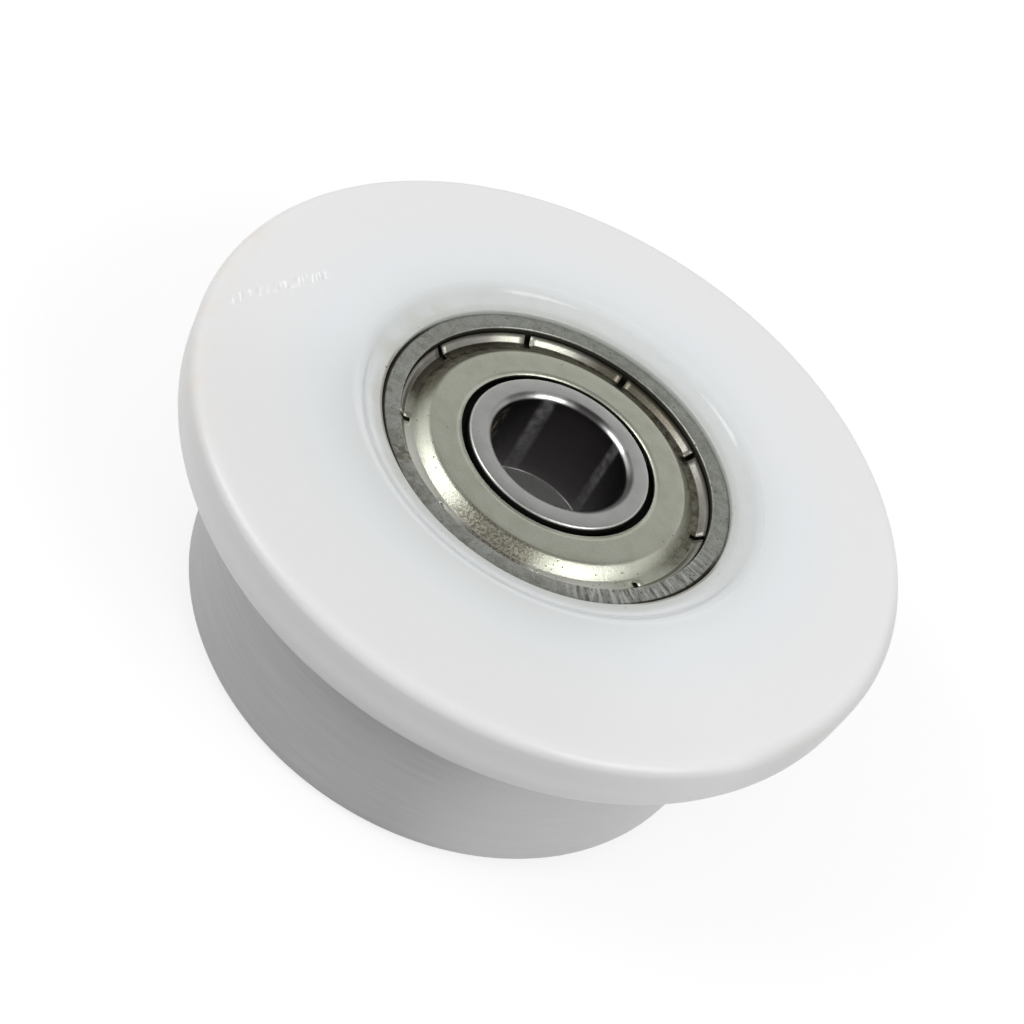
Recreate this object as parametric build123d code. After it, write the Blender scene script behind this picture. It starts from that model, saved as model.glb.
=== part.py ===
from build123d import *
import os

# Flanged guide pulley of a rowing machine: a white nylon roller with one wide flange that turns on a
# shielded ball bearing pressed into its flange side. The axis is +Z, the flange is at the top, and the
# origin is the middle of the lower face. All lengths are in millimetres and angles in degrees.

# Nylon body
flange_radius = 26.0
flange_thickness = 6.3
flange_top_round = 0.6
flange_under_round = 3.4
flange_root_round = 1.5
flange_underside_flat = 0.1
flange_crown_width = 1.6
flange_crown_drop = 0.22
tread_radius = 21.0
tread_edge_round = 1.5
pulley_height = 21.0

# Shallow dish in the flange face, with a land round the bearing's pocket and an S-shaped slope
dish_depth = 0.97
dish_land_width = 0.38
dish_slope_width = 2.21
dish_lip_round = 0.15

# Bearing pocket in the dish, with a seat round the through hole
bearing_recess = 1.28
pocket_clearance = 0.01
bearing_seat_width = 2.21
through_hole_chamfer = 0.5

# Rings of the shielded ball bearing
bore_radius = 5.0
bore_edge_round = 0.55
bearing_radius = 13.0
bearing_width = 8.0
bearing_edge_round = 0.25
inner_face_width = 1.7
inner_face_round = 0.2
inner_step_depth = 0.95
outer_face_width = 1.38
outer_face_round = 0.1
land_offset = 1.6

# Balls and their raceways, which are a little rounder than the balls
ball_count = 7
ball_radius = 2.381
raceway_ratio = 1.04
raceway_clearance = 0.04

# Pressed sheet-steel shields, each with a flat middle, a bevel, a trough and a curled, slit rim
shield_thickness = 0.25
shield_recess = 0.2
shield_gap = 0.4
shield_bevel_width = 0.9
shield_trough_width = 0.75
shield_trough_depth = 0.97
shield_curl_width = 0.5
shield_bend_radius = 0.3
shield_snap_depth = 0.4
shield_undercut = 0.12
shield_rim_clearance = 0.02
slit_count = 9
slit_width = 0.5
slit_depth = 1.1
first_slit_angle = 4.0

# Ribbon cage pressed in two halves, with a rivet between each pair of balls
cage_thickness = 0.3
cage_width = 1.4
cage_pocket_clearance = 0.06
rivet_radius = 0.35
rivet_head_radius = 0.6
rivet_head_height = 0.3
rivet_clearance = 0.01

# Heights and radii worked out from the sizes above
bearing_seat = pulley_height - bearing_recess - bearing_width
half_width = bearing_width / 2
bearing_middle = bearing_seat + half_width
pocket_radius = bearing_radius + pocket_clearance
through_hole_radius = pocket_radius - bearing_seat_width
inner_face_radius = bore_radius + inner_face_width
outer_face_radius = bearing_radius - outer_face_width
undercut_radius = outer_face_radius + shield_undercut
pitch_radius = (bore_radius + bearing_radius) / 2
inner_land_radius = pitch_radius - land_offset
outer_land_radius = pitch_radius + land_offset
raceway_radius = raceway_ratio * ball_radius
shield_seat_height = half_width - shield_trough_depth - shield_thickness


def closed_outline(points):
    # Straight lines through points given as (radius, height), closed on the first.
    return Polyline(*[Vector(radius, 0, height) for radius, height in points], close=True)


def turned(outline, corners):
    # Fills an outline in radius and height, rounds the given corners and turns it about the axis.
    section = make_face(outline)
    for corner, radius in corners:
        section = fillet(section.vertices().sort_by_distance(corner)[0], radius)
    return revolve(section, Axis.Z)


def pulley_body():
    # The two rounds under the flange get smaller where its overhang has no room for them.
    overhang = flange_radius - tread_radius
    full_rounds = flange_under_round + flange_root_round
    round_share = min(1, (overhang - flange_underside_flat) / full_rounds)
    flange_underside = pulley_height - flange_thickness
    crown = Vector(flange_radius - flange_crown_width, 0, pulley_height)
    top_edge = Vector(flange_radius, 0, pulley_height - flange_crown_drop)
    under_edge = Vector(flange_radius, 0, flange_underside)
    root = Vector(tread_radius, 0, flange_underside)
    tread_edge = Vector(tread_radius, 0, 0)
    hole_face = Vector(through_hole_radius + through_hole_chamfer, 0, 0)
    hole_edge = Vector(through_hole_radius, 0, through_hole_chamfer)
    seat_inner = Vector(through_hole_radius, 0, bearing_seat)
    seat_outer = Vector(pocket_radius, 0, bearing_seat)
    dish_floor = pulley_height - dish_depth
    lip = Vector(pocket_radius, 0, dish_floor)
    slope_foot = Vector(pocket_radius + dish_land_width, 0, dish_floor)
    slope_top = slope_foot + Vector(dish_slope_width, 0, dish_depth)
    slope_middle = (slope_foot + slope_top) / 2
    outline = Polyline(hole_face, tread_edge, root, under_edge, top_edge)
    outline += TangentArc(crown, top_edge, tangent=(1, 0, 0))
    outline += Line(crown, slope_top)
    outline += TangentArc(slope_top, slope_middle, tangent=(-1, 0, 0))
    outline += TangentArc(slope_foot, slope_middle, tangent=(1, 0, 0))
    outline += Polyline(slope_foot, lip, seat_outer, seat_inner, hole_edge, hole_face)
    corners = [
        (tread_edge, tread_edge_round),
        (root, flange_root_round * round_share),
        (under_edge, flange_under_round * round_share),
        (top_edge, flange_top_round),
        (lip, dish_lip_round),
    ]
    return turned(outline, corners)


def raceway(centre_radius):
    # The ring-shaped cutter of a grooved track, with a round section.
    return Torus(centre_radius, raceway_radius)


def bearing_outer_ring():
    # Inside each face: a land, an undercut that holds the shield's curled rim, and a step that it sits on.
    land_height = half_width - shield_snap_depth
    points = [
        (bearing_radius, half_width),
        (outer_face_radius, half_width),
        (outer_face_radius, land_height),
        (undercut_radius, land_height),
        (undercut_radius, shield_seat_height),
        (outer_land_radius, shield_seat_height),
    ]
    mirrored = [(radius, -height) for radius, height in reversed(points)]
    corners = []
    for side in (1, -1):
        corners.append((Vector(bearing_radius, 0, side * half_width), bearing_edge_round))
        corners.append((Vector(outer_face_radius, 0, side * half_width), outer_face_round))
    ring = turned(closed_outline(points + mirrored), corners)
    return ring - raceway(pitch_radius + ball_radius + raceway_clearance - raceway_radius)


def bearing_inner_ring():
    # The ring steps in near each face, so that the shield's inner edge runs in a narrow bent gap.
    step_height = half_width - inner_step_depth
    points = [
        (bore_radius, half_width),
        (inner_face_radius, half_width),
        (inner_face_radius, step_height),
        (inner_land_radius, step_height),
    ]
    mirrored = [(radius, -height) for radius, height in reversed(points)]
    corners = []
    for side in (1, -1):
        corners.append((Vector(bore_radius, 0, side * half_width), bore_edge_round))
        corners.append((Vector(inner_face_radius, 0, side * half_width), inner_face_round))
    ring = turned(closed_outline(points + mirrored), corners)
    return ring - raceway(pitch_radius - ball_radius - raceway_clearance + raceway_radius)


def shield():
    # The upper shield in the bearing's own frame, whose middle is at height zero. The sheet's middle
    # line is set out inwards from the rim: up the curl, through the trough and up the bevel to the flat.
    half_sheet = shield_thickness / 2
    rim_radius = undercut_radius - shield_rim_clearance - half_sheet
    trough_outer = rim_radius - shield_curl_width
    trough_inner = trough_outer - shield_trough_width
    flat_outer = trough_inner - shield_bevel_width
    rim_height = half_width - shield_snap_depth - shield_rim_clearance - half_sheet
    trough_height = shield_seat_height + half_sheet
    flat_height = half_width - shield_recess - half_sheet
    flat_inner = inner_face_radius + shield_gap + half_sheet
    flat_bend = min(shield_bend_radius, flat_outer - flat_inner)
    spine = FilletPolyline(
        Vector(rim_radius, 0, rim_height),
        Vector(trough_outer, 0, trough_height),
        Vector(trough_inner, 0, trough_height),
        Vector(flat_outer, 0, flat_height),
        Vector(flat_inner, 0, flat_height),
        radius=[shield_bend_radius, shield_bend_radius, flat_bend],
    )
    sheet = make_face(offset(spine, amount=half_sheet, side=Side.BOTH))
    disc = revolve(sheet, Axis.Z)
    slit = Box(slit_depth, slit_width, bearing_width, align=(Align.MAX, Align.CENTER, Align.CENTER))
    for index in range(slit_count):
        angle = first_slit_angle + index * 360 / slit_count
        disc -= Rot(0, 0, angle) * Pos(undercut_radius, 0, 0) * slit
    return disc


def ball_places():
    return [Rot(0, 0, index * 360 / ball_count) * Pos(pitch_radius, 0, 0) for index in range(ball_count)]


def rivet_places():
    half_step = 180 / ball_count
    return [Rot(0, 0, half_step) * place for place in ball_places()]


def cage_half():
    # The upper half: flat tabs between the balls and a round pocket over each ball, cut from one band.
    pocket_sphere = Sphere(ball_radius + cage_pocket_clearance)
    wall_radius = ball_radius + cage_pocket_clearance + cage_thickness
    outer_radius = pitch_radius + cage_width / 2
    inner_radius = pitch_radius - cage_width / 2
    tabs = Cylinder(outer_radius, cage_thickness, align=(Align.CENTER, Align.CENTER, Align.MIN))
    band = Cylinder(outer_radius, wall_radius, align=(Align.CENTER, Align.CENTER, Align.MIN))
    middle = Cylinder(inner_radius, 2 * wall_radius)
    for place in ball_places():
        tabs += band & (place * Sphere(wall_radius))
    half = tabs - middle
    for place in ball_places():
        half -= place * pocket_sphere
    for place in rivet_places():
        half -= place * Cylinder(rivet_radius + rivet_clearance, 4 * cage_thickness)
    return half


def rivet():
    # A shank through both halves with a domed head on each side.
    head_seat = cage_thickness
    head_top = head_seat + rivet_head_height
    top = Vector(0, 0, head_top)
    rim = Vector(rivet_head_radius, 0, head_seat)
    neck = Vector(rivet_radius, 0, head_seat)
    low_neck = Vector(rivet_radius, 0, -head_seat)
    low_rim = Vector(rivet_head_radius, 0, -head_seat)
    bottom = Vector(0, 0, -head_top)
    outline = TangentArc(top, rim, tangent=(1, 0, 0))
    outline += Polyline(rim, neck, low_neck, low_rim)
    outline += TangentArc(bottom, low_rim, tangent=(1, 0, 0))
    outline += Line(bottom, top)
    return turned(outline, [])


def save(node, *solids):
    # Writes one node, in the pulley's frame, as one solid or as a group of separate ones.
    shape = solids[0] if len(solids) == 1 else Compound(children=list(solids))
    shape.label = node
    export_step(shape, "parts/" + node + ".step")


def main():
    os.makedirs("parts", exist_ok=True)
    middle = Pos(0, 0, bearing_middle)
    turned_over = middle * Rot(180, 0, 0)
    save("pulley_body", pulley_body())
    save("bearing_outer_ring", middle * bearing_outer_ring())
    save("bearing_inner_ring", middle * bearing_inner_ring())
    save("upper_shield", middle * shield())
    save("lower_shield", turned_over * shield())
    save("cage_upper_half", middle * cage_half())
    save("cage_lower_half", turned_over * cage_half())
    save("cage_rivets", *[middle * place * rivet() for place in rivet_places()])
    for number, place in enumerate(ball_places(), start=1):
        save("ball_" + str(number), middle * place * Sphere(ball_radius))


main()
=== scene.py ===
import math

import bmesh
import bpy
from mathutils import Matrix, Vector


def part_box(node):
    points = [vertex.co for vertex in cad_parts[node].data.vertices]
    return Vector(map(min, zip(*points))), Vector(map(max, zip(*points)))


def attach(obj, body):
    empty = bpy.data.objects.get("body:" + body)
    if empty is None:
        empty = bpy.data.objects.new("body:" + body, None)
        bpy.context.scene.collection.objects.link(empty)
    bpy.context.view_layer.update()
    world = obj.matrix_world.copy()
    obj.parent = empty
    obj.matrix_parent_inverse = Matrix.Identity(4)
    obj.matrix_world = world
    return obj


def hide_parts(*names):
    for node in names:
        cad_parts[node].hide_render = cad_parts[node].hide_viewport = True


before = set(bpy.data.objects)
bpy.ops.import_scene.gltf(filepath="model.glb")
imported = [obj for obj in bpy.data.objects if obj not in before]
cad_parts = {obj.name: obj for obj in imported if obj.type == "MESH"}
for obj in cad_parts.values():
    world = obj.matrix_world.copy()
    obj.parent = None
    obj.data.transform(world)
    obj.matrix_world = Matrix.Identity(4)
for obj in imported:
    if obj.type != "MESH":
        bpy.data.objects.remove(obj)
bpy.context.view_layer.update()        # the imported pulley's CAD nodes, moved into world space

mm = 0.001               # one millimetre in scene units
weldDistance = 0.001 * mm

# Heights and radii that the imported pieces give
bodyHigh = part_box("pulley_body")[1]
outerLow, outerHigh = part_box("bearing_outer_ring")
flangeRadius = bodyHigh.x / mm
pulleyHeight = bodyHigh.z / mm
bearingRadius = outerHigh.x / mm
bearingMiddle = (outerLow.z + outerHigh.z) / 2 / mm
bearingHalf = (outerHigh.z - outerLow.z) / 2 / mm
bearingTop = bearingMiddle + bearingHalf


def tangentLength(width, drop):
    # How far from its corner an arc starts that leaves a flat face and falls by drop over width
    return (width * width + drop * drop) / (2 * width)


def drawOutline(bm, corners, closed):
    # Corners are (radius, height, cut, segments); a round is drawn wherever cut is above zero
    drawn = []
    for radius, height, cut, segments in corners:
        drawn.append(bm.verts.new((radius * mm, 0, height * mm)))
    ends = drawn[1:] + drawn[:1] if closed else drawn[1:]
    for start, end in zip(drawn, ends):
        bm.edges.new((start, end))
    for corner, (radius, height, cut, segments) in zip(drawn, corners):
        if cut > 0:
            bmesh.ops.bevel(bm, geom=[corner], offset=cut * mm, offset_type="OFFSET", segments=segments,
                            profile=0.5, affect="VERTICES", material=-1)


def addSupport(bm, longest):
    # Splits the long flats, so that smooth shading keeps them flat beside the small rounds
    for edge in list(bm.edges):
        pieces = math.ceil(edge.calc_length() / (longest * mm))
        if pieces > 1:
            bmesh.ops.subdivide_edges(bm, edges=[edge], cuts=pieces - 1)


def turnOutline(bm, steps, start=0.0):
    # Spins the outline once round the axle and closes the seam
    turned = Matrix.Rotation(start, 3, "Z")
    bmesh.ops.rotate(bm, verts=bm.verts, cent=(0, 0, 0), matrix=turned)
    bmesh.ops.spin(bm, geom=bm.verts[:] + bm.edges[:], cent=(0, 0, 0), axis=(0, 0, 1), dvec=(0, 0, 0),
                   angle=2 * math.pi, steps=steps, use_merge=True, use_duplicate=False)
    bmesh.ops.remove_doubles(bm, verts=bm.verts, dist=weldDistance)
    bmesh.ops.recalc_face_normals(bm, faces=bm.faces)


def finishPiece(bm, name, body, node, material):
    # Turns the bmesh into a smooth-shaded object that stands for its CAD node
    mesh = bpy.data.meshes.new(name)
    bm.to_mesh(mesh)
    bm.free()
    mesh.shade_smooth()
    mesh.set_sharp_from_angle(angle=math.radians(40))
    mesh.materials.append(material)
    piece = bpy.data.objects.new(name, mesh)
    bpy.context.scene.collection.objects.link(piece)
    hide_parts(node)
    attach(piece, body)
    return piece


# Shader maths: a socket wrapped so that it can stand in a sum
class Amount:
    def __init__(self, finish, socket):
        self.finish = finish
        self.socket = socket

    def worked(self, operation, *values):
        return self.finish.node("ShaderNodeMath", {"operation": operation}, dict(enumerate(values)))

    def __add__(self, other):
        return self.worked("ADD", self, other)

    def __radd__(self, other):
        return self.worked("ADD", other, self)

    def __sub__(self, other):
        return self.worked("SUBTRACT", self, other)

    def __rsub__(self, other):
        return self.worked("SUBTRACT", other, self)

    def __mul__(self, other):
        return self.worked("MULTIPLY", self, other)

    def __rmul__(self, other):
        return self.worked("MULTIPLY", other, self)

    def __truediv__(self, other):
        return self.worked("DIVIDE", self, other)

    def __pow__(self, other):
        return self.worked("POWER", self, other)

    def orMore(self, other):
        # The larger of the two
        return self.worked("MAXIMUM", self, other)


class Finish:
    # The nodes of one material or of the sky; every node but the shader maths comes from node()
    def __init__(self, owner):
        owner.use_nodes = True
        self.tree = owner.node_tree
        self.tree.nodes.clear()

    def node(self, kind, settings=None, inputs=None, output=0):
        made = self.tree.nodes.new(kind)
        for key, value in (settings or {}).items():
            setattr(made, key, value)
        for key, value in (inputs or {}).items():
            socket = made.inputs[key]
            if isinstance(value, Amount):
                self.tree.links.new(value.socket, socket)
            elif socket.type == "RGBA":
                socket.default_value = (*value, 1.0)
            else:
                socket.default_value = value
        return None if output is None else Amount(self, made.outputs[output])

    def other(self, amount, output):
        # Another output of the node that an amount comes from
        return Amount(self, amount.socket.node.outputs[output])

    def place(self):
        # Object coordinates in millimetres, as a vector and as radius, height and direction
        there = self.node("ShaderNodeTexCoord", output="Object")
        self.point = self.node("ShaderNodeVectorMath", {"operation": "SCALE"},
                               {0: there, "Scale": 1 / mm})
        self.x = self.node("ShaderNodeSeparateXYZ", inputs={0: self.point})
        self.y = self.other(self.x, 1)
        self.z = self.other(self.x, 2)
        self.radius = (self.x * self.x + self.y * self.y) ** 0.5
        self.acrossX = self.x / self.radius
        self.acrossY = self.y / self.radius

    def around(self, turns, rings):
        # A vector for patterns round the axle: detail along the turn and detail along the radius
        return self.node("ShaderNodeCombineXYZ", inputs={
            0: self.acrossX * turns, 1: self.acrossY * turns, 2: (self.radius + self.z) * rings})

    def noise(self, where, scale=1.0, detail=2.0, roughness=0.5):
        return self.node("ShaderNodeTexNoise", {"noise_dimensions": "3D"},
                         {"Vector": where, "Scale": scale, "Detail": detail, "Roughness": roughness})

    def spots(self, scale, size, share):
        # Scattered round spots: size is their radius in cells, and share of the cells have one
        distance = self.node("ShaderNodeTexVoronoi", {"feature": "F1"},
                             {"Vector": self.point, "Scale": scale})
        chance = self.node("ShaderNodeSeparateColor", inputs={0: self.other(distance, "Color")})
        return self.step(distance, size, size * 0.6) * self.step(chance, 1 - share, 1.02 - share)

    def step(self, value, low, high):
        # 0 below low and 1 above high, with a soft rise between; low above high turns it round
        return self.node("ShaderNodeMapRange", {"interpolation_type": "SMOOTHSTEP"},
                         {"Value": value, "From Min": low, "From Max": high})

    def slope(self, value, low, high):
        # 0 below low and 1 above high, with a straight rise between
        return self.node("ShaderNodeMapRange", {"interpolation_type": "LINEAR"},
                         {"Value": value, "From Min": low, "From Max": high})

    def band(self, value, low, high, soft):
        # 1 between low and high, falling to 0 over soft on both sides
        return self.step(value, low - soft, low) * self.step(value, high + soft, high)

    def sector(self, azimuth, halfWidth, soft):
        # 1 within halfWidth degrees of the azimuth, falling to 0 over soft degrees
        turn = math.radians(azimuth)
        closeness = self.acrossX * math.cos(turn) + self.acrossY * math.sin(turn)
        rim = math.cos(math.radians(halfWidth + soft))
        return self.step(closeness, rim, math.cos(math.radians(halfWidth)))

    def sectors(self, first, second):
        # Two sectors together
        return self.sector(*first) + self.sector(*second)

    def mix(self, share, first, second):
        # A colour between two, each an RGB triple or the result of another mix
        return self.node("ShaderNodeMix", {"data_type": "RGBA"}, {0: share, 6: first, 7: second}, 2)

    def bump(self, height, depth):
        # Relief for the Normal input, depth millimetres deep
        return self.node("ShaderNodeBump", inputs={
            "Height": height, "Distance": depth * mm, "Strength": 1.0})

    def close(self, inputs):
        # Adds the shader, with its inputs by name, and the output
        shader = self.node("ShaderNodeBsdfPrincipled", inputs=inputs)
        self.node("ShaderNodeOutputMaterial", inputs={"Surface": shader}, output=None)


def newFinish(name):
    material = bpy.data.materials.new(name)
    return material, Finish(material)


# Camera, from the photograph: azimuth 0 and the flange's centre at topPixel
camera = {
    "lens": 60.237,
    "sensor": 36.0,
    "elevation": 43.045,
    "roll": 31.974,
    "distance": 116.076,          # mm along the view to the middle of the flange's face
    "topPixel": (568.9, 438.8),
    "imageSize": 1024,
}


def buildCamera(values):
    tilt = math.radians(values["elevation"])
    roll = math.radians(values["roll"])
    forward = Vector((0, math.cos(tilt), -math.sin(tilt)))
    upright = Vector((0, math.sin(tilt), math.cos(tilt)))
    sideways = Vector((1, 0, 0))
    right = math.cos(roll) * sideways + math.sin(roll) * upright
    up = math.cos(roll) * upright - math.sin(roll) * sideways
    focal = values["lens"] / values["sensor"] * values["imageSize"]
    offsets = [(pixel - values["imageSize"] / 2) / focal for pixel in values["topPixel"]]
    ray = offsets[0] * right - offsets[1] * up + forward
    place = Vector((0, 0, pulleyHeight)) - values["distance"] * ray
    data = bpy.data.cameras.new("photoCamera")
    data.lens = values["lens"]
    data.sensor_width = values["sensor"]
    data.clip_start = 0.01
    view = bpy.data.objects.new("photoCamera", data)
    turned = Matrix((right, up, -forward)).transposed()
    view.matrix_world = Matrix.Translation(place * mm) @ turned.to_4x4()
    bpy.context.scene.collection.objects.link(view)
    bpy.context.scene.camera = view


buildCamera(camera)
print("camera made")


# In the finishes below, a span is where a layer starts and where it is full, in mm of radius or height.
# A band is its two edges and its softness in mm, and a sector its azimuth, half width and softness in
# degrees. Spots are their scale in cells a mm, their size in cells and the share of cells that have one.

# Nylon body
body = {
    "treadRadius": 21.0,
    "flangeThickness": 6.3,
    "topRound": 0.6,
    "underRound": 3.4,
    "rootRound": 1.5,
    "crownWidth": 1.6,
    "crownDrop": 0.22,
    "treadRound": 1.5,
    "holeRadius": 10.8,
    "holeChamfer": 0.5,
    "dishDepth": 0.97,
    "dishLandWidth": 0.38,
    "dishSlopeWidth": 2.21,
    "dishLipRound": 0.15,
    "pocketClearance": 0.01,
    "steps": 288,
    "longestFlat": 0.9,
    "white": (0.82, 0.82, 0.82),
    "coolWhite": (0.78, 0.81, 0.83),
    # grey of the painted shade on the nylon
    "shadeGrey": (0.48, 0.50, 0.47),
    "grimeYellow": (0.50, 0.45, 0.32),
    "grimeAndShadowBrown": (0.16, 0.12, 0.08),
    # grey of the tread: its wear together with painted shade
    "treadWearAndShadeGrey": (0.50, 0.50, 0.50),
    "rimTint": (0.80, 0.74, 0.68),
    "scuffWhite": (1.0, 1.0, 1.0),
    "faceSpan": (18.0, 19.5),
    "coolBand": (14.5, 17.5, 4.5),
    "coolShare": 0.8,
    "steelShadeSpan": (18.5, 13.0),
    "steelShadeFalloff": 2.4,
    "slopeBand": (14.0, 15.2, 0.4),
    "slopeSector": (268, 52, 30),
    "shadeSpan": (14.9, 15.6),
    "deepShadeSpan": (18.5, 15.5),
    "shadeSector": (250, 25, 45),
    "grimeSpan": (15.0, 13.1),
    "grimeSector": (185, 35, 40),
    "grimeShare": 0.35,
    "fleckSpots": (2.4, 0.22, 0.12),
    "fleckSpan": (13.9, 13.3),
    "crumbSpots": (0.42, 0.05, 0.08),
    "contactSpan": (13.7, 13.0),
    "contactShare": 0.75,
    "shadowStripSpan": (13.25, 13.12),
    "shadowStripSectors": ((334, 12, 10), (203, 14, 12)),
    "dirtAndShadowShare": 0.7,
    "leftRimSpan": (24.0, 25.6),
    "leftRimSector": (196, 14, 18),
    "leftRimShare": 0.6,
    "rightRimSpan": (24.8, 25.9),
    "rightRimSector": (346, 14, 16),
    "rightRimShare": 0.45,
    "treadSpan": (17.0, 19.0),
    "treadHeights": (16.5, 12.5),
    "litTreadSector": (318, 16, 26),
    "scuffStart": (-23.9, -6.94),    # x and y of the two ends of the row of scuffs
    "scuffEnd": (-20.02, 1.12),
    "scuffBare": 1.0,                # mm at the row's start that stay bare
    "scuffHalfWidth": 0.2,
    "scuffTurns": (3.4, -1.7, 0.7),  # detail along the row, lean of the ticks, detail across the row
    "polishedBand": (13.9, 14.9, 0.3),
    "reliefDepth": 0.012,
    "translucence": 0.35,
    "translucentReach": 1.2,
}


def nylonFinish(values):
    material, finish = newFinish("whiteNylon")
    finish.place()
    cloud = finish.noise(finish.point, 0.11, 3)
    mottle = finish.noise(finish.point, 0.5, 3)
    fine = finish.noise(finish.point, 2.5, 4, 0.6)
    onTop = finish.step(finish.z, *values["faceSpan"])
    radius = finish.radius
    shadeGrey = values["shadeGrey"]

    # A cool tint in the middle of the face, and painted shade where the nylon meets the steel, kept off
    # the near side of the dish's slope
    cool = finish.band(radius, *values["coolBand"]) * onTop * (0.45 + 0.9 * cloud)
    colour = finish.mix(cool * values["coolShare"], values["white"], values["coolWhite"])
    steelShade = finish.slope(radius, *values["steelShadeSpan"]) ** values["steelShadeFalloff"] * onTop
    steepSide = finish.sector(*values["slopeSector"]) * finish.band(radius, *values["slopeBand"])
    colour = finish.mix(steelShade * (0.55 + 0.2 * mottle) * (1 - steepSide), colour, shadeGrey)

    # The near side of the face lies in a broad soft shade, deepest beside the dish
    shade = finish.sector(*values["shadeSector"]) * onTop * finish.step(radius, *values["shadeSpan"])
    shade = shade * (0.16 + 0.18 * finish.slope(radius, *values["deepShadeSpan"]))
    colour = finish.mix(shade, colour, shadeGrey)

    # Faint grime in the dish, most of it on one side
    dish = finish.slope(radius, *values["grimeSpan"]) * onTop
    dirtySide = finish.sector(*values["grimeSector"]) * 0.8 + 0.2
    grime = dish * dirtySide * finish.step(mottle, 0.3, 0.7) * values["grimeShare"]
    colour = finish.mix(grime, colour, values["grimeYellow"])

    # Dark flecks along the steel and a few crumbs over the whole face, painted shade where the nylon
    # meets the steel, and dark strips of painted shadow in the gap beside the steel on two sides
    flecks = finish.spots(*values["fleckSpots"]) * finish.step(radius, *values["fleckSpan"]) * onTop
    crumbs = finish.spots(*values["crumbSpots"]) * onTop
    contactShade = finish.slope(radius, *values["contactSpan"]) * onTop
    colour = finish.mix(contactShade * values["contactShare"], colour, shadeGrey)
    shadowStrips = finish.sectors(*values["shadowStripSectors"]) * onTop
    shadowStrips = shadowStrips * finish.step(radius, *values["shadowStripSpan"])
    # dirt here is the flecks and crumbs together with the painted shadow strips
    dirt = flecks * (0.3 + dirtySide) + shadowStrips * 0.9 + crumbs * 0.4
    colour = finish.mix(dirt * values["dirtAndShadowShare"], colour, values["grimeAndShadowBrown"])

    # Warm stains on the left rim, painted shade on the right rim, and the tread greyer from wear and
    # painted shade, left lighter in one sector as painted light
    leftRim = finish.step(radius, *values["leftRimSpan"]) * finish.sector(*values["leftRimSector"])
    leftRim = leftRim * finish.step(mottle, 0.35, 0.75)
    colour = finish.mix(leftRim * values["leftRimShare"], colour, values["rimTint"])
    rightRimShade = finish.step(radius, *values["rightRimSpan"]) * finish.sector(*values["rightRimSector"])
    colour = finish.mix(rightRimShade * values["rightRimShare"], colour, shadeGrey)
    tread = finish.step(finish.z, *values["treadHeights"]) * finish.step(radius, *values["treadSpan"])
    # painted light: the tread's grey is thinner in one sector
    tread = tread * (1 - 0.5 * finish.sector(*values["litTreadSector"]))
    rubbed = finish.noise(finish.around(4, 3.5), 1.0, 3)
    colour = finish.mix(tread * (0.75 + 0.4 * rubbed), colour, values["treadWearAndShadeGrey"])

    # The row of scuffs: short light ticks with a grey edge of painted shadow, across a line on the face
    startX, startY = values["scuffStart"]
    endX, endY = values["scuffEnd"]
    length = math.hypot(endX - startX, endY - startY)
    alongX, alongY = (endX - startX) / length, (endY - startY) / length
    along = (finish.x - startX) * alongX + (finish.y - startY) * alongY
    across = (finish.y - startY) * alongX - (finish.x - startX) * alongY
    half = values["scuffHalfWidth"]
    row = finish.band(along, values["scuffBare"], length, 0.5) * finish.band(across, -half, half, 0.3)
    row = row * onTop * (0.45 + 0.55 * finish.step(mottle, 0.4, 0.6))
    turnsAlong, lean, turnsAcross = values["scuffTurns"]
    leaning = finish.node("ShaderNodeCombineXYZ", inputs={
        0: along * turnsAlong + across * lean, 1: across * turnsAcross})
    ticks = finish.noise(leaning, 1.0, 2)
    colour = finish.mix(row * finish.step(ticks, 0.53, 0.58), colour, values["scuffWhite"])
    # the grey edge of the ticks is painted shadow
    colour = finish.mix(row * finish.step(ticks, 0.43, 0.36) * 0.3, colour, shadeGrey)

    polished = finish.band(radius, *values["polishedBand"]) * onTop
    roughness = 0.27 + 0.12 * fine + 0.15 * tread + 0.2 * dirt - 0.20 * polished
    relief = finish.bump(fine + 1.5 * mottle + row * ticks * 4, values["reliefDepth"])
    finish.close({"Base Color": colour, "Roughness": roughness, "Normal": relief, "IOR": 1.5,
                  "Subsurface Weight": values["translucence"], "Subsurface Radius": (1.0, 1.0, 1.0),
                  "Subsurface Scale": values["translucentReach"] * mm})
    return material


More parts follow.
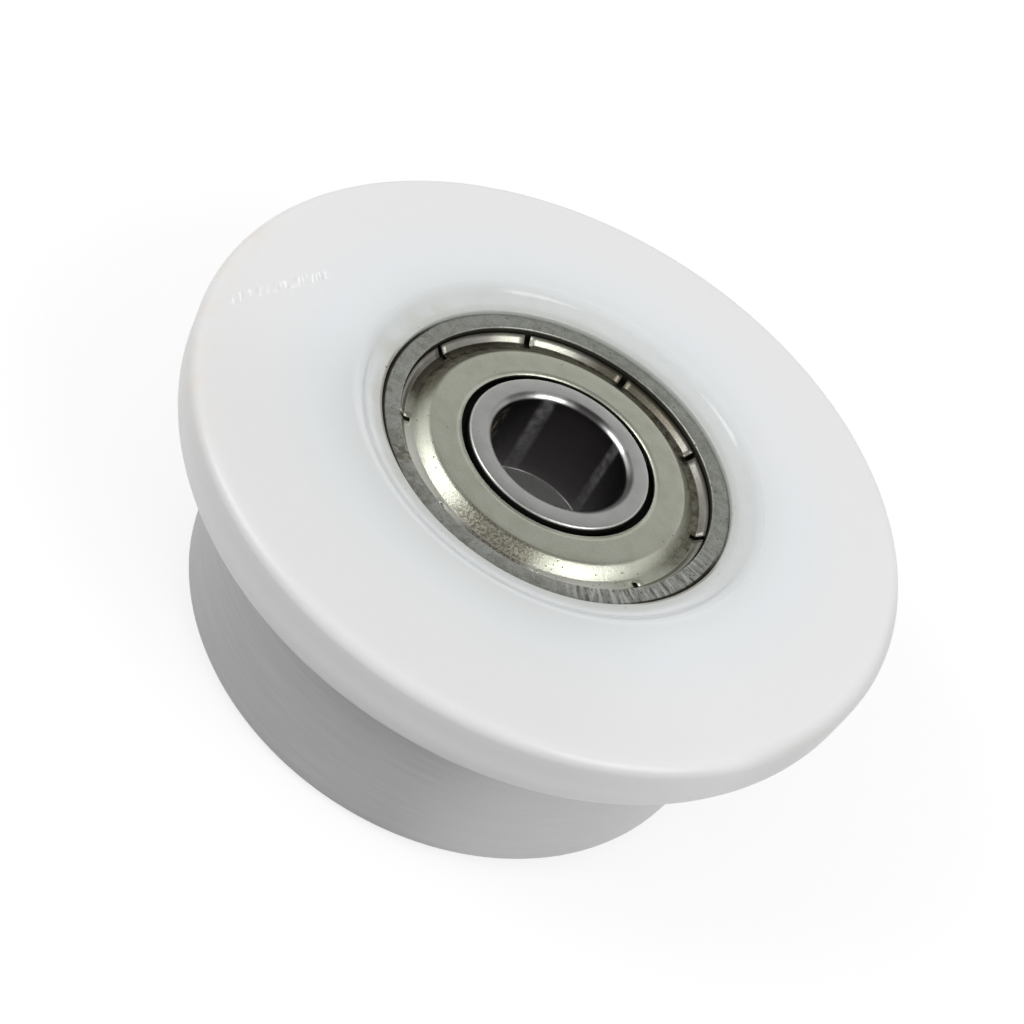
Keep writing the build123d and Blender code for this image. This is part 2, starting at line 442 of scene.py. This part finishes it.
def buildBody(values):
    underside = pulleyHeight - values["flangeThickness"]
    pocketRadius = bearingRadius + values["pocketClearance"]
    seat = bearingMiddle - bearingHalf
    crownCut = tangentLength(values["crownWidth"], values["crownDrop"])
    crownCorner = flangeRadius - values["crownWidth"] + crownCut
    dishFloor = pulleyHeight - values["dishDepth"]
    slopeFoot = pocketRadius + values["dishLandWidth"]
    slopeTop = slopeFoot + values["dishSlopeWidth"]
    slopeCut = tangentLength(values["dishSlopeWidth"] / 2, values["dishDepth"] / 2)
    # The cuts below are a little short of full, so that neighbouring rounds don't quite meet
    corners = [
        (values["holeRadius"] + values["holeChamfer"], 0, 0, 0),
        (values["treadRadius"], 0, values["treadRound"], 8),
        (values["treadRadius"], underside, values["rootRound"], 8),
        (flangeRadius, underside, values["underRound"], 14),
        (flangeRadius, pulleyHeight - values["crownDrop"], values["topRound"], 8),
        (crownCorner, pulleyHeight, crownCut * 0.9, 6),
        (slopeTop - slopeCut, pulleyHeight, slopeCut * 0.99, 10),
        (slopeFoot + slopeCut, dishFloor, slopeCut * 0.99, 10),
        (pocketRadius, dishFloor, values["dishLipRound"], 5),
        (pocketRadius, seat, 0, 0),
        (values["holeRadius"], seat, 0, 0),
        (values["holeRadius"], values["holeChamfer"], 0, 0),
    ]
    bm = bmesh.new()
    drawOutline(bm, corners, closed=True)
    addSupport(bm, values["longestFlat"])
    turnOutline(bm, values["steps"])
    finishPiece(bm, "nylonBody", "pulley", "pulley_body", nylonFinish(values))


buildBody(body)
print("nylon body made")


# Rings of the bearing
rings = {
    "bore": 5.0,
    "boreRound": 0.55,
    "edgeRound": 0.25,
    "innerFace": 6.7,
    "innerRound": 0.2,
    "innerStep": 0.95,
    "innerLand": 7.4,
    "outerFace": 11.62,
    "outerRound": 0.1,
    "snapDepth": 0.4,
    "undercut": 0.12,
    "outerLand": 10.6,
    "seatDepth": 1.22,
    "trackRadius": 2.476,
    "trackCentreOuter": 8.945,
    "trackCentreInner": 9.055,
    "trackSteps": 16,
    "steps": 256,
    "longestFlat": 0.8,
    "steel": (0.465, 0.475, 0.435),
    "steelDull": (0.355, 0.365, 0.325),
    "steelBright": (0.80, 0.80, 0.79),
    "innerSteel": (0.61, 0.62, 0.595),
    "pit": (0.07, 0.06, 0.045),
    "stain": (0.20, 0.17, 0.10),
    # painted shade in the bore and on its round edge
    "boreShadeDark": (0.055, 0.048, 0.050),
    # light of the two painted lamp reflections in the bore
    "boreStreakGrey": (0.17, 0.165, 0.165),
    "edgeShadeGrey": (0.24, 0.235, 0.23),
    "glintSteel": (0.97, 0.97, 0.96),
    # grey-black of the painted shadow in the outer ring's gaps
    "gapShadow": (0.035, 0.032, 0.022),
    "gapShadowBlack": (0.007, 0.0064, 0.0044),
    "wornSector": (322, 18, 20),
    "markSector": (224, 2.0, 2.5),
    "stainSector": (215, 40, 20),
    "shadowStripSpan": (12.68, 12.80),
    "shadowStripSectors": ((197, 27, 14), (334, 14, 12)),
    "wallShadowSpan": (11.95, 11.8),
    "wallShadowDepths": (0.08, 0.2),       # mm below the ring's face
    "outerReliefDepth": 0.012,
    "pitSpots": (2.6, 0.16, 0.07),
    "boreSpan": (5.12, 5.02),
    "edgeSpan": (5.6, 5.3),
    "edgeShadeSectors": ((86, 6, 12), (342, 28, 22)),
    "thinEdgeShadeSector": (150, 4, 10),
    "glintSectors": ((55, 6, 8), (120, 7, 9)),
    "lampStreakSectors": ((120.5, 1.5, 7), (51.0, 1.2, 5)),
    "crustSector": (165, 5, 6),
    "crustBand": (16.4, 18.4, 0.8),
    "gapSpan": (6.5, 6.6),
    "gapDepths": (0.14, 0.24),       # mm below the ring's face
    "innerReliefDepth": 0.010,
}


def belowTop(finish, depths):
    # 0 above the first depth under the bearing's face and 1 below the second
    shallow, deep = depths
    return finish.step(finish.z, bearingTop - shallow, bearingTop - deep)


def outerRingFinish(values):
    material, finish = newFinish("outerRingSteel")
    finish.place()
    streaks = finish.noise(finish.around(42, 0.6), 1.0, 3, 0.65)
    mottle = finish.noise(finish.point, 1.3, 4, 0.65)
    grain = finish.noise(finish.point, 9.0, 3, 0.7)
    worn = finish.sector(*values["wornSector"])
    colour = finish.mix(finish.step(mottle, 0.35, 0.65), values["steel"], values["steelDull"])
    colour = finish.mix(finish.step(grain, 0.5, 0.7) * 0.35, colour, values["steelBright"])
    colour = finish.mix(finish.step(grain, 0.44, 0.30) * 0.6, colour, values["pit"])
    lightStreaks = finish.step(streaks, 0.52, 0.62) * (0.03 + 0.6 * worn)
    colour = finish.mix(lightStreaks, colour, values["steelBright"])
    darkStreaks = finish.step(streaks, 0.46, 0.36) * (0.04 + 0.6 * worn)
    colour = finish.mix(darkStreaks, colour, values["pit"])

    # Pits, thickest on the worn stretch, and one brown mark across the face
    small = finish.spots(3.0, 0.28, 0.15 + 0.30 * worn)
    large = finish.spots(1.1, 0.13, 0.22 + 0.22 * worn)
    mark = finish.sector(*values["markSector"])
    mark = mark * finish.step(finish.noise(finish.point, 2.2, 3), 0.42, 0.55)
    dirt = small.orMore(large).orMore(mark)
    colour = finish.mix(dirt * 0.85, colour, values["pit"])
    stained = finish.sector(*values["stainSector"]) * finish.step(mottle, 0.45, 0.7)
    colour = finish.mix(stained * 0.25, colour, values["stain"])

    # Dark strips of painted shadow along the outer edge beside the nylon, and painted shadow on the wall
    # behind the shield's rim
    shadowStrips = finish.step(finish.radius, *values["shadowStripSpan"]) * finish.sectors(*values["shadowStripSectors"])
    wall = finish.step(finish.radius, *values["wallShadowSpan"]) * belowTop(finish, values["wallShadowDepths"])
    gapShadow = shadowStrips.orMore(wall)
    colour = finish.mix(gapShadow * 0.92, colour, values["gapShadow"])
    roughness = 0.34 + 0.2 * grain + 0.25 * dirt + 0.2 * gapShadow
    relief = finish.bump(grain + streaks * worn - 2.0 * dirt, values["outerReliefDepth"])
    metal = 1.0 - 0.7 * dirt
    finish.close({"Base Color": colour, "Metallic": metal, "Roughness": roughness, "Normal": relief})
    return material


def innerRingFinish(values):
    material, finish = newFinish("innerRingSteel")
    finish.place()
    mottle = finish.noise(finish.point, 0.9, 3, 0.6)
    grain = finish.noise(finish.point, 7.0, 2, 0.6)
    turned = finish.noise(finish.around(3, 9.0), 1.0, 2)
    dull = finish.step(mottle, 0.35, 0.7) * 0.35
    colour = finish.mix(dull, values["innerSteel"], values["steel"])
    pits = finish.spots(*values["pitSpots"])
    colour = finish.mix(pits * 0.7, colour, values["pit"])

    # The bore is painted dark as shade; its round edge is painted darker as shade, darkest on stretches
    # that face away from the lamps, and two stretches carry painted highlights
    inBore = finish.step(finish.radius, *values["boreSpan"])
    colour = finish.mix(inBore, colour, values["boreShadeDark"])
    edge = finish.step(finish.radius, *values["edgeSpan"])
    colour = finish.mix(edge * (1 - inBore) * 0.55, colour, values["edgeShadeGrey"])
    darkStretch = finish.sectors(*values["edgeShadeSectors"]) + finish.sector(*values["thinEdgeShadeSector"]) * 0.6
    colour = finish.mix(edge * darkStretch * 0.85, colour, values["boreShadeDark"])
    glint = edge * (1 - inBore) * finish.sectors(*values["glintSectors"])
    colour = finish.mix(glint, colour, values["glintSteel"])

    # Two painted reflections of the lamps as light streaks along the bore, and a crusted spot in it
    ragged = finish.noise(finish.point, 1.6, 2, 0.5)
    lampStreaks = finish.sectors(*values["lampStreakSectors"]) * inBore
    lampStreaks = lampStreaks * (0.35 + 0.65 * finish.step(ragged, 0.3, 0.7))
    colour = finish.mix(lampStreaks, colour, values["boreStreakGrey"])
    crust = finish.sector(*values["crustSector"]) * inBore * finish.band(finish.z, *values["crustBand"])
    crust = crust * finish.step(finish.noise(finish.point, 1.8, 3), 0.45, 0.55)
    colour = finish.mix(crust * 0.8, colour, values["stain"])

    # Painted shadow in the gap beside the shield's inner edge
    inGap = finish.step(finish.radius, *values["gapSpan"]) * belowTop(finish, values["gapDepths"])
    colour = finish.mix(inGap * 0.97, colour, values["gapShadowBlack"])
    roughness = 0.28 + 0.14 * grain + 0.06 * turned + 0.3 * lampStreaks + 0.3 * inGap - 0.04 * glint
    relief = finish.bump(grain * 0.7 + turned * 0.5 - pits, values["innerReliefDepth"])
    metal = 1.0 - 0.75 * lampStreaks - 0.8 * crust
    finish.close({"Base Color": colour, "Metallic": metal, "Roughness": roughness, "Normal": relief})
    return material


def mirroredCorners(half):
    # A ring's outline from its lower land round the outside to its upper land
    lower = []
    for radius, height, cut, segments in reversed(half):
        lower.append((radius, 2 * bearingMiddle - height, cut, segments))
    return lower + half


def drawTrack(bm, centre, values):
    # The grooved track: the upper land's end is turned about the centre of the round section
    openEnds = [vert for vert in bm.verts if len(vert.link_edges) == 1]
    land = max(openEnds, key=lambda vert: vert.co.z)
    reach = math.acos(abs(land.co.x / mm - centre) / values["trackRadius"])
    side = 1 if land.co.x / mm > centre else -1
    middle = Vector((centre * mm, 0, bearingMiddle * mm))
    bmesh.ops.spin(bm, geom=[land], cent=middle, axis=(0, 1, 0), dvec=(0, 0, 0), angle=side * 2 * reach,
                   steps=values["trackSteps"], use_merge=False, use_duplicate=False)
    bmesh.ops.remove_doubles(bm, verts=bm.verts, dist=weldDistance)


def buildRing(values, half, centre, name, body, node, material):
    bm = bmesh.new()
    drawOutline(bm, mirroredCorners(half), closed=False)
    addSupport(bm, values["longestFlat"])
    drawTrack(bm, centre, values)
    turnOutline(bm, values["steps"])
    finishPiece(bm, name, body, node, material)


def trackHeight(land, centre, values):
    # Height at which the track's round section meets its land
    return bearingMiddle + math.sqrt(values["trackRadius"] ** 2 - (land - centre) ** 2)


def buildOuterRing(values):
    centre = values["trackCentreOuter"]
    landTop = bearingTop - values["snapDepth"]
    wall = values["outerFace"] + values["undercut"]
    seat = bearingTop - values["seatDepth"]
    half = [
        (bearingRadius, bearingTop, values["edgeRound"], 6),
        (values["outerFace"], bearingTop, values["outerRound"], 5),
        (values["outerFace"], landTop, 0, 0),
        (wall, landTop, 0, 0),
        (wall, seat, 0, 0),
        (values["outerLand"], seat, 0, 0),
        (values["outerLand"], trackHeight(values["outerLand"], centre, values), 0, 0),
    ]
    material = outerRingFinish(values)
    buildRing(values, half, centre, "outerRing", "pulley", "bearing_outer_ring", material)


def buildInnerRing(values):
    centre = values["trackCentreInner"]
    step = bearingTop - values["innerStep"]
    half = [
        (values["bore"], bearingTop, values["boreRound"], 8),
        (values["innerFace"], bearingTop, values["innerRound"], 6),
        (values["innerFace"], step, 0, 0),
        (values["innerLand"], step, 0, 0),
        (values["innerLand"], trackHeight(values["innerLand"], centre, values), 0, 0),
    ]
    material = innerRingFinish(values)
    buildRing(values, half, centre, "innerRing", "inner_ring", "bearing_inner_ring", material)


buildOuterRing(rings)
buildInnerRing(rings)
print("rings made")


# Shields, pressed from sheet: flat, bevel, trough and a curled rim cut by slits
shield = {
    "thickness": 0.25,
    "innerRadius": 7.1,
    "recess": 0.2,
    "flatRadius": 9.45,
    "troughInner": 10.35,
    "troughOuter": 11.1,
    "troughDepth": 0.97,
    "rimRadius": 11.595,
    "rimDepth": 0.545,
    "bend": 0.12,
    "slitCount": 9,
    "firstSlit": 4.0,
    "slitStart": 10.64,
    "columns": 144,
    "longestFlat": 0.5,
    "steel": (0.63, 0.645, 0.545),
    "steelDull": (0.50, 0.50, 0.40),
    "haze": (0.155, 0.13, 0.09),
    # painted bright reflection on the trough's near side
    "sheenColour": (0.92, 0.92, 0.84),
    "depositAndShadeBrown": (0.10, 0.085, 0.05),
    "troughGrease": (0.03, 0.026, 0.018),
    "curlDull": (0.26, 0.245, 0.225),
    "bevelBand": (9.5, 10.5, 0.25),
    "bevelHazeSector": (265, 9, 14),
    "bevelDarkBand": (9.55, 10.4, 0.25),
    "farSector": (130, 50, 20),
    "rightSector": (8, 20, 16),
    "leftSector": (165, 18, 22),
    "crustBand": (9.9, 10.6, 0.35),
    "troughBand": (10.42, 11.0, 0.12),
    "darkTroughSector": (90, 95, 25),
    "greasyTroughSector": (162, 20, 16),
    "sheenTroughSector": (262, 40, 20),
    "troughHazeSector": (267, 7, 10),
    "curlSpan": (11.0, 11.12),
    "undarkenedCurlSector": (121, 12, 8),
    "darkerCurlSector": (75, 14, 14),
    "reliefDepth": 0.020,
}


def shieldFinish(values):
    material, finish = newFinish("shieldSteel")
    finish.place()
    radius = finish.radius
    grain = finish.noise(finish.point, 6.5, 3, 0.7)
    mottle = finish.noise(finish.point, 0.7, 3, 0.6)
    speckle = finish.step(grain, 0.42, 0.56)
    colour = finish.mix(finish.step(mottle, 0.4, 0.7) * 0.4, values["steel"], values["steelDull"])

    # Brown haze between the bright stretches of the bevel
    bevel = finish.band(radius, *values["bevelBand"])
    haze = bevel * finish.sector(*values["bevelHazeSector"]) * (0.35 + 0.65 * speckle)
    colour = finish.mix(haze * 0.9, colour, values["haze"])

    # The bevel darkened on its far side and left by deposit and on its right by painted shade where it
    # faces away, and a crust along the foot of it
    crustNoise = finish.step(finish.noise(finish.point, 2.0, 4, 0.65), 0.42, 0.62)
    farSide = finish.sector(*values["farSector"]) + finish.sector(*values["rightSector"]) * 0.6
    darkStretch = farSide * 0.5 + finish.sector(*values["leftSector"]) * 0.5
    darkStretch = finish.band(radius, *values["bevelDarkBand"]) * darkStretch
    colour = finish.mix(darkStretch * (0.5 + 0.4 * mottle), colour, values["depositAndShadeBrown"])
    crust = finish.band(radius, *values["crustBand"]) * farSide * crustNoise

    # The trough: dark and greasy on the far side, a painted bright reflection on the near side, with
    # haze in its middle
    inTrough = finish.band(radius, *values["troughBand"])
    dark = inTrough * finish.sector(*values["darkTroughSector"]) * (0.65 + 0.3 * crustNoise)
    colour = finish.mix(dark, colour, values["depositAndShadeBrown"])
    greasy = inTrough * finish.sector(*values["greasyTroughSector"])
    colour = finish.mix(greasy * 0.8, colour, values["troughGrease"])
    troughSheen = inTrough * finish.sector(*values["sheenTroughSector"])
    colour = finish.mix(troughSheen, colour, values["sheenColour"])
    troughHaze = inTrough * finish.sector(*values["troughHazeSector"]) * (0.5 + 0.4 * speckle)
    colour = finish.mix(troughHaze, colour, values["haze"])

    # The curled rim is darker all round but for the stretch where a lamp's highlight falls, and darker
    # and browner beside that stretch
    onCurl = finish.step(radius, *values["curlSpan"])
    curl = onCurl * (1 - 0.8 * finish.sector(*values["undarkenedCurlSector"]))
    colour = finish.mix(curl * (0.6 + 0.5 * mottle), colour, values["curlDull"])
    darkerCurl = curl * finish.sector(*values["darkerCurlSector"])
    colour = finish.mix(darkerCurl * 0.7, colour, values["depositAndShadeBrown"])

    specks = finish.spots(2.2, 0.16, 0.05 + 0.45 * bevel)
    dirt = specks.orMore(crust * 0.8)
    colour = finish.mix(dirt * 0.85, colour, values["depositAndShadeBrown"])
    roughness = 0.30 + 0.16 * grain + 0.2 * dirt + 0.12 * haze
    relief = finish.bump(grain, values["reliefDepth"])
    metal = 1.0 - 0.7 * dirt
    finish.close({"Base Color": colour, "Metallic": metal, "Roughness": roughness, "Normal": relief})
    return material


def buildShield(values, name, node, turnedOver, material):
    halfSheet = values["thickness"] / 2
    flatHeight = bearingTop - values["recess"] - halfSheet
    troughHeight = bearingTop - values["troughDepth"] - halfSheet
    corners = [
        (values["innerRadius"] + halfSheet, flatHeight, 0, 0),
        (values["flatRadius"], flatHeight, values["bend"], 5),
        (values["troughInner"], troughHeight, values["bend"], 5),
        (values["slitStart"], troughHeight, 0, 0),
        (values["troughOuter"], troughHeight, values["bend"], 5),
        (values["rimRadius"], bearingTop - values["rimDepth"], 0, 0),
    ]
    column = 2 * math.pi / values["columns"]
    bm = bmesh.new()
    drawOutline(bm, corners, closed=False)
    addSupport(bm, values["longestFlat"])
    turnOutline(bm, values["columns"], math.radians(values["firstSlit"]) - column / 2)

    # The slits: one column of faces goes at each of them
    slitStep = 360 / values["slitCount"]
    cut = []
    for face in bm.faces:
        middle = face.calc_center_median()
        turn = math.degrees(math.atan2(middle.y, middle.x)) - values["firstSlit"]
        fromSlit = abs((turn + slitStep / 2) % slitStep - slitStep / 2)
        if middle.xy.length > values["slitStart"] * mm and fromSlit < math.degrees(column) / 4:
            cut.append(face)
    bmesh.ops.delete(bm, geom=cut, context="FACES")
    bmesh.ops.recalc_face_normals(bm, faces=bm.faces)
    if turnedOver:
        pivot = Vector((0, 0, bearingMiddle * mm))
        bmesh.ops.rotate(bm, verts=bm.verts, cent=pivot, matrix=Matrix.Rotation(math.pi, 3, "X"))
    piece = finishPiece(bm, name, "pulley", node, material)
    sheet = piece.modifiers.new("sheet", "SOLIDIFY")
    sheet.thickness = values["thickness"] * mm
    sheet.offset = 0


shieldSteel = shieldFinish(shield)
buildShield(shield, "upperShield", "upper_shield", False, shieldSteel)
buildShield(shield, "lowerShield", "lower_shield", True, shieldSteel)
print("shields made")


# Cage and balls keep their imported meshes
inside = {
    "cageColour": (0.5, 0.5, 0.48),
    "cageRoughness": 0.35,
    "ballColour": (0.7, 0.7, 0.71),
    "ballRoughness": 0.05,
    "darkerShare": 0.8,
}


def plainSteel(name, colour, roughness, darkerShare):
    material, finish = newFinish(name)
    finish.place()
    grain = finish.noise(finish.point, 5.0, 3)
    tone = finish.mix(grain, colour, [darkerShare * channel for channel in colour])
    finish.close({"Base Color": tone, "Metallic": 1.0, "Roughness": roughness + 0.1 * grain})
    return material


def dressInside(values):
    darker = values["darkerShare"]
    cageSteel = plainSteel("cageSteel", values["cageColour"], values["cageRoughness"], darker)
    ballSteel = plainSteel("ballSteel", values["ballColour"], values["ballRoughness"], darker)
    for name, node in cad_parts.items():
        if name.startswith(("cage", "ball")):
            node.data.materials.clear()
            node.data.materials.append(cageSteel if name.startswith("cage") else ballSteel)


dressInside(inside)
print("cage and balls dressed")


# Floor, sky and lamps
light = {
    "floorSize": 1.2,
    "floorBounce": (0.30, 0.30, 0.30),
    "floorShown": (0.30, 0.30, 0.30),    # the share of the shown floor that takes the shadow
    "floorGlow": 0.74,
    "skyLow": 0.28,
    "skyHigh": 0.95,
    "lampDistance": 0.6,
    "lampWidth": 0.32,
    "lampBrightness": 4.0,
    "lampDirections": ((329, 39), (200, 36)),    # azimuth and elevation
    "mirrorLow": 0.4,                    # sine of the elevation below which metal sees white
    "mirrorHigh": 0.85,
    "mirrorDark": 0.27,
}


def shownRays(finish):
    # 1 for rays from the camera, from a mirror or through a clear piece, and 0 for the rest
    seen = finish.node("ShaderNodeLightPath", output="Is Camera Ray")
    mirror = finish.other(seen, "Is Glossy Ray")
    clear = finish.other(seen, "Is Transmission Ray")
    return seen.orMore(mirror).orMore(clear)


def buildFloor(values):
    bm = bmesh.new()
    bmesh.ops.create_grid(bm, x_segments=1, y_segments=1, size=values["floorSize"])
    mesh = bpy.data.meshes.new("floor")
    bm.to_mesh(mesh)
    bm.free()
    floor = bpy.data.objects.new("floor", mesh)
    bpy.context.scene.collection.objects.link(floor)
    material, finish = newFinish("paleFloor")
    shown = shownRays(finish)
    finish.close({"Base Color": finish.mix(shown, values["floorBounce"], values["floorShown"]),
                  "Roughness": 1.0, "Specular IOR Level": 0.0,
                  "Emission Color": (1.0, 1.0, 1.0), "Emission Strength": shown * values["floorGlow"]})
    mesh.materials.append(material)


def buildSky(values):
    # Soft light that grows with height, and a sky for mirrors that is white below and dark above
    world = bpy.data.worlds.new("sky")
    bpy.context.scene.world = world
    finish = Finish(world)
    toward = finish.node("ShaderNodeTexCoord", output="Generated")
    height = finish.other(finish.node("ShaderNodeSeparateXYZ", inputs={0: toward}), 2)
    soft = values["skyLow"] + finish.step(height, 0.0, 1.0) * (values["skyHigh"] - values["skyLow"])
    overhead = finish.step(height, values["mirrorLow"], values["mirrorHigh"])
    mirrored = 1.0 - overhead * (1 - values["mirrorDark"])
    shown = shownRays(finish)
    strength = shown * mirrored + (1 - shown) * soft
    background = finish.node("ShaderNodeBackground", inputs={"Strength": strength})
    finish.node("ShaderNodeOutputWorld", inputs={"Surface": background}, output=None)


def buildLamps(values):
    area = math.pi * values["lampWidth"] ** 2
    for number, (azimuth, elevation) in enumerate(values["lampDirections"], start=1):
        turn, rise = math.radians(azimuth), math.radians(elevation)
        level = math.cos(rise)
        toward = Vector((math.cos(turn) * level, math.sin(turn) * level, math.sin(rise)))
        data = bpy.data.lights.new("lamp" + str(number), "AREA")
        data.size = values["lampWidth"]
        data.energy = values["lampBrightness"] * area
        lamp = bpy.data.objects.new("lamp" + str(number), data)
        lamp.location = toward * values["lampDistance"]
        lamp.rotation_euler = toward.to_track_quat("Z", "Y").to_euler()
        bpy.context.scene.collection.objects.link(lamp)


buildFloor(light)
buildSky(light)
buildLamps(light)
bpy.context.scene.view_settings.view_transform = "Standard"
print("light made")
